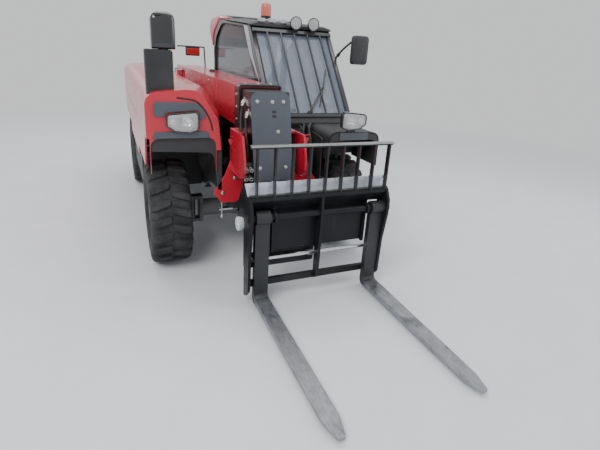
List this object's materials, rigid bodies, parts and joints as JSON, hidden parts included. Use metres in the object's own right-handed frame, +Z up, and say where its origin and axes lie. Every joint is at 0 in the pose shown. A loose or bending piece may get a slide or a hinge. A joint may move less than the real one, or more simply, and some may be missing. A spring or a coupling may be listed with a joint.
{
  "type": "telehandler",
  "caption": "Compact four-wheel telescopic handler with side cab, horizontal boom, side-shift fork carriage and load guard.",
  "frame": {"origin": "on the ground, at the middle of the machine's outline seen from above", "axes": "+Z up, +X towards the machine's left, the forks point along -Y"},
  "size_m": [1.85, 5.07, 2.1077],
  "materials": {
    "red_paint": "gloss",
    "black_paint": "satin",
    "slate_paint": "satin",
    "silver_paint": "gloss",
    "rim_paint": "satin",
    "cast_iron": "rough",
    "black_plastic": "matte",
    "seat_cover": "matte",
    "lamp_glass": "clear",
    "amber_plastic": "gloss",
    "red_plastic": "gloss",
    "tinted_glass": "clear",
    "steel": "worn",
    "chrome": "polished",
    "tyre_rubber": "matte"
  },
  "bodies": {
    "chassis": {"chassis_rails": "black_paint", "chassis_plates": "black_paint", "boom_tower": "black_paint", "outriggers": "black_paint", "axles": "black_paint", "engine_block": "cast_iron", "fuel_tank": "black_plastic", "counterweight": "black_paint", "fender_front_right": "red_paint", "fender_front_left": "red_paint", "fender_rear_left": "red_paint", "side_panel_right": "red_paint", "lamp_panels": "slate_paint", "headlights": "lamp_glass", "cab_frame": "black_paint", "cab_floor": "black_paint", "cab_roof": "black_plastic", "cab_glass": "tinted_glass", "screen_guard": "black_paint", "seat": "seat_cover", "controls": "black_plastic", "mirrors": "black_plastic", "beacon": "amber_plastic", "work_lamps": "lamp_glass", "rear_lamp": "red_plastic"},
    "bonnet": {"bonnet": "red_paint"},
    "cab_door": {"cab_door": "black_paint", "door_glass": "tinted_glass"},
    "boom": {"boom_outer": "red_paint"},
    "boom_inner": {"boom_inner": "black_paint", "boom_head": "black_paint", "head_plates": "red_paint", "head_cover": "slate_paint"},
    "lift_barrel": {"lift_barrel": "black_paint"},
    "lift_rod": {"lift_rod": "chrome"},
    "tilt_barrel": {"tilt_barrel": "black_paint"},
    "tilt_rod": {"tilt_rod": "chrome"},
    "coupler": {"coupler": "black_paint"},
    "fork_carriage": {"fork_frame": "black_paint", "shelf": "silver_paint", "guard": "black_paint", "shift_rod": "chrome", "forks": "steel"},
    "knuckle_front_left": {"knuckle_front_left": "black_paint"},
    "wheel_front_left": {"tyre_front_left": "tyre_rubber", "rim_front_left": "rim_paint"},
    "knuckle_front_right": {"knuckle_front_right": "black_paint"},
    "wheel_front_right": {"tyre_front_right": "tyre_rubber", "rim_front_right": "rim_paint"},
    "knuckle_rear_left": {"knuckle_rear_left": "black_paint"},
    "wheel_rear_left": {"tyre_rear_left": "tyre_rubber", "rim_rear_left": "rim_paint"},
    "knuckle_rear_right": {"knuckle_rear_right": "black_paint"},
    "wheel_rear_right": {"tyre_rear_right": "tyre_rubber", "rim_rear_right": "rim_paint"}
  },
  "joints": [
    {"name": "steer_front", "type": "hinge", "parent": "chassis", "child": "knuckle_front_left", "pos_m": [0.56, -0.385, 0.415], "axis": [0, 0, 1], "range_deg": [-30, 30]},
    {"name": "steer_front_right", "type": "hinge", "parent": "chassis", "child": "knuckle_front_right", "pos_m": [-0.56, -0.385, 0.415], "axis": [0, 0, 1], "range_deg": [-30, 30]},
    {"name": "spin_front_left", "type": "hinge", "parent": "knuckle_front_left", "child": "wheel_front_left", "pos_m": [0.75, -0.385, 0.415], "axis": [1, 0, 0], "continuous": true},
    {"name": "spin_front_right", "type": "hinge", "parent": "knuckle_front_right", "child": "wheel_front_right", "pos_m": [-0.75, -0.385, 0.415], "axis": [1, 0, 0], "continuous": true},
    {"name": "steer_rear", "type": "hinge", "parent": "chassis", "child": "knuckle_rear_left", "pos_m": [0.56, 1.915, 0.415], "axis": [0, 0, 1], "range_deg": [-30, 30]},
    {"name": "steer_rear_right", "type": "hinge", "parent": "chassis", "child": "knuckle_rear_right", "pos_m": [-0.56, 1.915, 0.415], "axis": [0, 0, 1], "range_deg": [-30, 30]},
    {"name": "spin_rear_left", "type": "hinge", "parent": "knuckle_rear_left", "child": "wheel_rear_left", "pos_m": [0.75, 1.915, 0.415], "axis": [1, 0, 0], "continuous": true},
    {"name": "spin_rear_right", "type": "hinge", "parent": "knuckle_rear_right", "child": "wheel_rear_right", "pos_m": [-0.75, 1.915, 0.415], "axis": [1, 0, 0], "continuous": true},
    {"name": "boom_lift", "type": "hinge", "parent": "chassis", "child": "boom", "pos_m": [-0.11, 2.165, 1.29], "axis": [-1, 0, 0], "range_deg": [0, 66]},
    {"name": "boom_extend", "type": "slide", "parent": "boom", "child": "boom_inner", "axis": [0, -1, 0], "range_m": [0, 1.9]},
    {"name": "tilt", "type": "hinge", "parent": "boom_inner", "child": "coupler", "pos_m": [-0.11, -1.145, 0.33], "axis": [1, 0, 0], "range_deg": [-10, 80]},
    {"name": "side_shift", "type": "slide", "parent": "coupler", "child": "fork_carriage", "axis": [-1, 0, 0], "range_m": [0, 0.28]},
    {"name": "door", "type": "hinge", "parent": "chassis", "child": "cab_door", "pos_m": [0.892, 1.312, 1.1], "axis": [0, 0, 1], "range_deg": [0, 110]},
    {"name": "bonnet", "type": "hinge", "parent": "chassis", "child": "bonnet", "pos_m": [-0.463, 1.3, 1.46], "axis": [0, 1, 0], "range_deg": [0, 55]},
    {"name": "lift_barrel_pivot", "type": "hinge", "parent": "chassis", "child": "lift_barrel", "pos_m": [-0.11, 1.62, 0.56], "axis": [-1, 0, 0], "range_deg": [-1, 58]},
    {"name": "lift_rod_slide", "type": "slide", "parent": "lift_barrel", "child": "lift_rod", "axis": [0, -0.9109, 0.4126], "range_m": [0, 0.965]},
    {"name": "tilt_barrel_pivot", "type": "hinge", "parent": "boom_inner", "child": "tilt_barrel", "pos_m": [-0.11, -0.435, 1.02], "axis": [1, 0, 0], "range_deg": [-1, 5]},
    {"name": "tilt_rod_slide", "type": "slide", "parent": "tilt_barrel", "child": "tilt_rod", "axis": [0, -0.8985, -0.4389], "range_m": [-0.055, 0.42]}
  ],
  "couplings": [
    {"joint": "steer_front_right", "follows": "steer_front", "ratio": 1},
    {"joint": "steer_rear_right", "follows": "steer_rear", "ratio": 1},
    {"joint": "lift_barrel_pivot", "follows": "boom_lift", "ratio": 0.864},
    {"joint": "lift_rod_slide", "follows": "boom_lift", "m_per_rad": 0.83},
    {"joint": "tilt_barrel_pivot", "follows": "tilt", "ratio": 0.045},
    {"joint": "tilt_rod_slide", "follows": "tilt", "m_per_rad": 0.292}
  ]
}
